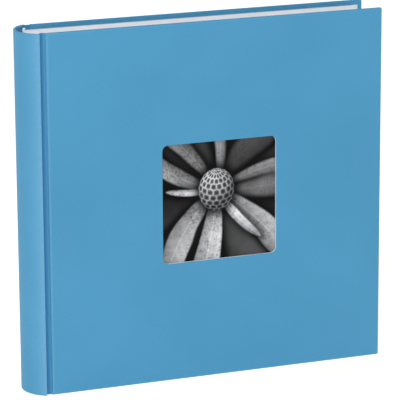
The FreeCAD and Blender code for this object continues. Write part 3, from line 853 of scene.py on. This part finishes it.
# ---------------------------------------------------------------- sewn bands
def end_band(name, node):
    """A headband or tailband: its tape on the block's back, and a bead wound with two threads."""
    low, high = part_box(node)
    at_head = high.z > HEAD / 2
    bead = 1.1 * MM
    inner, outer = BACK_RADIUS + 0.05 * MM, BACK_RADIUS + 0.45 * MM
    centre = block_low.x + BACK_RADIUS
    path = BACK_RADIUS - bead / 2
    z = (high.z - bead) if at_head else (low.z + bead)
    half = math.asin((-low.y) / outer)
    steps_along, steps_round, steps_a_thread = 150, 10, 3
    points, marks = [], []
    for i in range(steps_along + 1):
        a = math.pi - half + 2 * half * i / steps_along
        thread, step = divmod(i, steps_a_thread)
        swell = bead * (0.9 if step == 0 else 1.0)
        for k in range(steps_round):
            b = 2 * math.pi * k / steps_round
            r = path + swell * math.cos(b)
            points.append((centre + r * math.cos(a), r * math.sin(a), z + swell * math.sin(b)))
            marks.append(1.0 if thread % 4 == 0 else 0.0)
    faces = []
    for i in range(steps_along):
        faces += tube_faces(i * steps_round, (i + 1) * steps_round, steps_round)
    faces.append(tuple(range(steps_round)))
    faces.append(tuple(steps_along * steps_round + k for k in reversed(range(steps_round))))
    bottom, top = (low.z, z) if at_head else (z, high.z)
    first = len(points)
    steps = 40
    for i in range(steps + 1):
        a = math.pi - half + 2 * half * i / steps
        for r, level in ((inner, bottom), (outer, bottom), (outer, top), (inner, top)):
            points.append((centre + r * math.cos(a), r * math.sin(a), level))
            marks.append(0.0)
    for i in range(steps):
        faces += tube_faces(first + 4 * i, first + 4 * (i + 1), 4)
    faces += [(first, first + 1, first + 2, first + 3)]
    last = first + 4 * steps
    faces += [(last + 3, last + 2, last + 1, last)]
    piece = build_mesh(name, points, faces, THREAD)
    layer = piece.data.attributes.new("thread", "FLOAT", "POINT")
    layer.data.foreach_set("value", np.array(marks, np.float32))
    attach(piece, "block")
    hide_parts(node)


# ---------------------------------------------------------------- every piece
for side, word in ((-1, "front"), (1, "back")):
    cover_paper(side, f"{word}_cover_paper", f"{word}_covering", f"{word}_cover")
    groove_paper(side, f"{word}_groove_paper", f"{word}_joint_strip")
    hinge_paper(side, f"{word}_hinge_paper")
spine_paper()
spine_inlay()
print_sheet()
bound_sheet(0, "front_flyleaf", "front_flyleaf_sheet", ENDPAPER)
bound_sheet(LEAVES + 1, "back_flyleaf", "back_flyleaf_sheet", ENDPAPER)
for number in range(1, LEAVES + 1):
    bound_sheet(number, f"leaf_{number:02}", f"page_{number:02}", CARD)
    interleaf(number)
end_band("headband_sewn", "headband")
end_band("tailband_sewn", "tailband")

kept_nodes = {
    "front_board": BOARD, "back_board": BOARD, "spine_stiffener": BOARD,
    "front_infill": CARD, "back_infill": CARD, "binding_stubs": STUBS,
    "front_pastedown": ENDPAPER, "back_pastedown": ENDPAPER,
    "mull": GAUZE, "spine_lining": KRAFT,
}
for node, material in kept_nodes.items():
    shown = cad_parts[node]
    shown.data.materials.clear()
    shown.data.materials.append(material)


# ---------------------------------------------------------------- studio
def studio():
    """A pale floor that sweeps up into a low wall, a white sky, and soft lights. The floor glows,
    so that it stays white, and glows less right under the album."""
    made, tree, shader = new_material("studio_floor", Roughness=0.9, Specular_IOR_Level=0.1)
    shader.inputs["Emission Color"].default_value = (1, 1, 1, 1)
    place = add(tree, "ShaderNodeSeparateXYZ", {0: object_place(tree)})
    across = math_node(tree, "ABSOLUTE", place.outputs["X"])
    along = math_node(tree, "ABSOLUTE", place.outputs["Y"])
    past_ends = ramp(tree, across, FORE - 12 * MM, FORE - 2 * MM)
    past_sides = ramp(tree, along, OUTSIDE - 6 * MM, OUTSIDE - 2 * MM)
    clear = math_node(tree, "MAXIMUM", past_ends, past_sides)
    glow_under, glow_round = 0.22, 0.66
    glow = ramp(tree, clear, 0, 1, glow_under, glow_round)
    tree.links.new(glow, shader.inputs["Emission Strength"])
    shade = blend_colours(tree, clear, (1, 1, 1, 1), (0.7, 0.7, 0.7, 1))
    tree.links.new(shade, shader.inputs["Base Color"])
    # radius and height of each ring, from the flat floor up the wall
    sweep = ((8.0, 0), (8.6, 0.06), (9.1, 0.25), (9.4, 0.6), (9.5, 1.1), (9.5, 2.2))
    around = 96
    points = [
        (r * math.cos(2 * math.pi * i / around), r * math.sin(2 * math.pi * i / around), z)
        for r, z in sweep
        for i in range(around)
    ]
    faces = [tuple(range(around))]
    for row in range(len(sweep) - 1):
        for i in range(around):
            j, a, b = (i + 1) % around, row * around, (row + 1) * around
            faces.append((a + i, b + i, b + j, a + j))
    mesh = bpy.data.meshes.new("floor")
    mesh.from_pydata(points, [], faces)
    mesh.polygons.foreach_set("use_smooth", [True] * len(mesh.polygons))
    mesh.materials.append(made)
    floor = bpy.data.objects.new("floor", mesh)
    bpy.context.scene.collection.objects.link(floor)

    world = bpy.data.worlds.new("studio")
    bpy.context.scene.world = world
    world.use_nodes = True
    sky = world.node_tree.nodes["Background"]
    sky.inputs["Color"].default_value = (1, 1, 1, 1)
    sky.inputs["Strength"].default_value = 0.45

    middle = Vector(((EDGE + FORE) / 2, 0, HEAD / 2))
    for name, place, size, power in (
        ("key", (-0.75, -0.95, 1.55), 0.8, 7.5),
        ("strip", (-1.1, -1.7, 0.9), 0.5, 8),
        ("top", (-0.35, -0.15, 1.9), 0.9, 7.5),
        ("side", (2.0, 0.1, 0.7), 1.2, 5.5),
    ):
        lamp = bpy.data.lights.new(name, "AREA")
        lamp.size = size
        lamp.energy = power
        placed = bpy.data.objects.new(name, lamp)
        placed.location = place
        placed.rotation_euler = (middle - Vector(place)).to_track_quat("-Z", "Y").to_euler()
        bpy.context.scene.collection.objects.link(placed)


def camera():
    """The camera: it stands left of the album and above it, and looks down to the right."""
    place = Vector((-0.7614, -1.9947, 0.6992))
    azimuth, elevation, roll = math.radians(20.93), math.radians(-14.53), math.radians(-0.33)
    ahead = Vector((
        math.sin(azimuth) * math.cos(elevation),
        math.cos(azimuth) * math.cos(elevation),
        math.sin(elevation),
    ))
    level = ahead.cross(Vector((0, 0, 1))).normalized()
    upright = level.cross(ahead)
    right = math.cos(roll) * level + math.sin(roll) * upright
    up = -math.sin(roll) * level + math.cos(roll) * upright
    lens = bpy.data.cameras.new("camera")
    lens.sensor_width = 36
    lens.lens = 239.9
    lens.clip_end = 50
    placed = bpy.data.objects.new("camera", lens)
    placed.matrix_world = Matrix((
        (right.x, up.x, -ahead.x, place.x),
        (right.y, up.y, -ahead.y, place.y),
        (right.z, up.z, -ahead.z, place.z),
        (0, 0, 0, 1),
    ))
    bpy.context.scene.collection.objects.link(placed)
    bpy.context.scene.camera = placed
    bpy.context.scene.view_settings.view_transform = "Standard"


studio()
camera()
